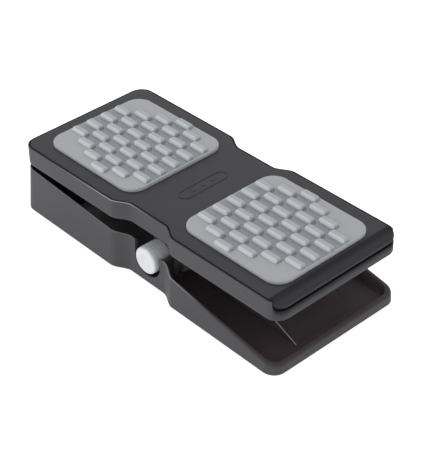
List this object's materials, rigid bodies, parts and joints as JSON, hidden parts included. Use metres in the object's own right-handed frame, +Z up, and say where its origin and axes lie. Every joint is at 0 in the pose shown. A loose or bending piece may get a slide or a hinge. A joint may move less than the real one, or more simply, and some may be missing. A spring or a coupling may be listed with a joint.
{
  "type": "rocker foot pedal",
  "caption": "Rocker expression foot pedal: a waisted treadle with two blocky grip pads tilts over an open-heeled base with a side range knob.",
  "frame": {"origin": "on the floor, below the middle of the base", "axes": "+X from the toe end to the heel end, -Y towards the range knob, +Z up"},
  "size_m": [0.25, 0.1134, 0.0619],
  "materials": {
    "base_plastic": "fine satin texture",
    "cover_plastic": "matte",
    "rubber_black": "matte",
    "plated_steel": "zinc plated",
    "bright_steel": "turned",
    "nut_brass": "turned",
    "board_green": "solder mask",
    "component_black": "moulded",
    "white_nylon": "moulded",
    "cap_plastic": "fine satin texture",
    "skirt_plastic": "fine satin texture",
    "grip_rubber": "soft satin",
    "knob_plastic": "satin"
  },
  "bodies": {
    "base": {"base_shell": "base_plastic", "grip_sheet_toe": "rubber_black", "grip_sheet_heel": "rubber_black", "ballast_plate": "plated_steel", "pivot_bracket_near": "plated_steel", "pivot_bracket_far": "plated_steel", "pivot_shaft": "bright_steel", "shaft_clip_near": "bright_steel", "shaft_clip_far": "bright_steel", "base_screw_1": "bright_steel", "base_screw_2": "bright_steel", "base_screw_3": "bright_steel", "base_screw_4": "bright_steel", "mechanism_cover": "cover_plastic", "circuit_board": "board_green", "board_chip": "component_black", "board_header": "white_nylon", "board_post_1": "white_nylon", "board_post_2": "white_nylon", "board_post_3": "white_nylon", "board_post_4": "white_nylon", "sensor_bracket": "plated_steel", "sensor_pot": "component_black", "sensor_nut": "nut_brass", "sensor_screw_1": "bright_steel", "sensor_screw_2": "bright_steel", "range_pot": "component_black", "range_nut": "nut_brass", "jack_socket": "component_black", "jack_nut": "bright_steel", "switch_body": "component_black", "toe_post_near": "base_plastic", "toe_post_far": "base_plastic", "toe_bumper_near": "rubber_black", "toe_bumper_far": "rubber_black"},
    "treadle": {"treadle_cap": "cap_plastic", "treadle_skirt": "skirt_plastic", "toe_pad": "grip_rubber", "heel_pad": "grip_rubber", "hinge_ear_near": "plated_steel", "hinge_ear_far": "plated_steel", "hinge_bush_near": "white_nylon", "hinge_bush_far": "white_nylon", "sector_gear": "white_nylon", "heel_bumper_near": "rubber_black", "heel_bumper_far": "rubber_black", "ear_screw_1": "bright_steel", "ear_screw_2": "bright_steel", "ear_screw_3": "bright_steel", "ear_screw_4": "bright_steel"},
    "range_knob": {"range_knob": "knob_plastic", "range_shaft": "bright_steel"},
    "sensor_spindle": {"sensor_shaft": "bright_steel", "sensor_pinion": "white_nylon"},
    "switch_lever": {"switch_lever": "white_nylon"}
  },
  "joints": [
    {"name": "treadle_tilt", "type": "hinge", "parent": "base", "child": "treadle", "pos_m": [0, 0, 0.034], "axis": [0, 1, 0], "range_deg": [0, 15]},
    {"name": "sensor_spin", "type": "hinge", "parent": "base", "child": "sensor_spindle", "pos_m": [0.02312, 0, 0.01488], "axis": [0, 1, 0], "range_deg": [-80, 2]},
    {"name": "range_turn", "type": "hinge", "parent": "base", "child": "range_knob", "pos_m": [0, -0.045, 0.019], "axis": [0, 1, 0], "range_deg": [-135, 135]},
    {"name": "polarity_slide", "type": "slide", "parent": "base", "child": "switch_lever", "axis": [0, 1, 0], "range_m": [0, 0.003]}
  ],
  "couplings": [
    {"joint": "sensor_spin", "follows": "treadle_tilt", "ratio": -5}
  ]
}
